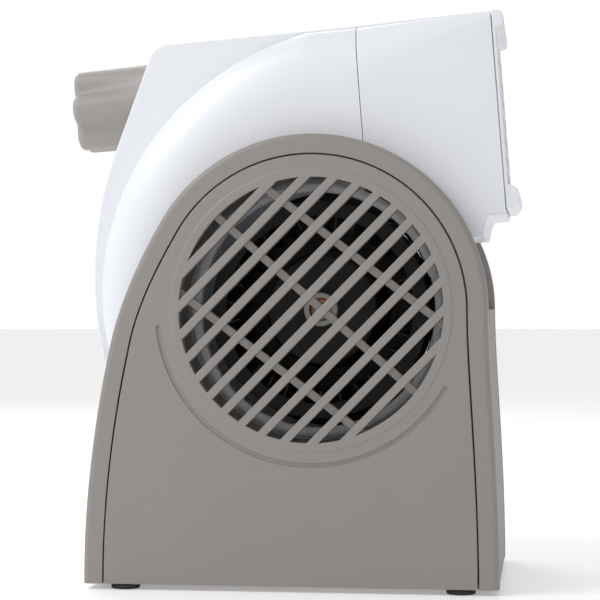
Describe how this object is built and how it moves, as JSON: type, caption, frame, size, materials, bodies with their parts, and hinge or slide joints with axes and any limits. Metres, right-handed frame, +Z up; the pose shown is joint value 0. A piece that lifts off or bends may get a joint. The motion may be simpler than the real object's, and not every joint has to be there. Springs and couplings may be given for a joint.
{
  "type": "scroll blower fan",
  "caption": "Compact tilting scroll blower: a white head with a rectangular mouth turns between two arched grey side shells with round slatted inlet grilles.",
  "frame": {"origin": "on the table under the middle of the blower's box", "axes": "+X the way the air leaves, +Z up, so the right side faces -Y"},
  "size_m": [0.2101, 0.1248, 0.2578],
  "materials": {
    "white_plastic": "moulded, softly glossy, faint blue-white",
    "grey_plastic": "moulded, fine satin texture, warm grey",
    "knob_plastic": "satin, warm grey",
    "black_plastic": "moulded, satin",
    "acetal": "natural, waxy",
    "foot_rubber": "matt",
    "zinc_steel": "zinc plated",
    "motor_steel": "rolled steel can",
    "bronze": "sintered bronze"
  },
  "bodies": {
    "base": {"right_shell": "grey_plastic", "left_shell": "grey_plastic", "right_grille_panel": "grey_plastic", "left_grille_panel": "grey_plastic", "base_tray": "grey_plastic", "cord_gland": "black_plastic", "foot_front_right": "foot_rubber", "foot_front_left": "foot_rubber", "foot_rear_right": "foot_rubber", "foot_rear_left": "foot_rubber", "shell_screw_front_right": "zinc_steel", "shell_screw_front_left": "zinc_steel", "shell_screw_rear_right": "zinc_steel", "shell_screw_rear_left": "zinc_steel", "right_pivot_ring": "acetal", "left_pivot_ring": "acetal", "right_inlet_skirt": "grey_plastic", "left_inlet_skirt": "grey_plastic"},
    "head": {"right_head_shell": "white_plastic", "left_head_shell": "white_plastic", "outlet_duct": "white_plastic", "outlet_grille": "white_plastic", "inlet_ring": "white_plastic", "cutoff_tongue": "white_plastic", "motor": "motor_steel", "motor_mount": "black_plastic", "motor_screw_1": "zinc_steel", "motor_screw_2": "zinc_steel", "motor_screw_3": "zinc_steel", "knob_well": "white_plastic", "speed_switch": "black_plastic", "switch_nut": "zinc_steel", "head_screw_upper": "zinc_steel", "head_screw_lower": "zinc_steel"},
    "wheel": {"impeller": "black_plastic", "hub_ring": "acetal", "hub_insert": "bronze", "motor_shaft": "zinc_steel"},
    "knob": {"speed_knob": "knob_plastic", "switch_shaft": "zinc_steel"}
  },
  "joints": [
    {"name": "head_tilt", "type": "hinge", "parent": "base", "child": "head", "pos_m": [0.0135, 0, 0.1246], "axis": [0, -1, 0], "range_deg": [-15, 45]},
    {"name": "impeller_spin", "type": "hinge", "parent": "head", "child": "wheel", "pos_m": [0.0135, 0, 0.1246], "axis": [0, -1, 0], "continuous": true},
    {"name": "knob_turn", "type": "hinge", "parent": "head", "child": "knob", "pos_m": [-0.06632, 0, 0.22113], "axis": [-0.9969, 0, -0.0785], "range_deg": [0, 270]}
  ]
}
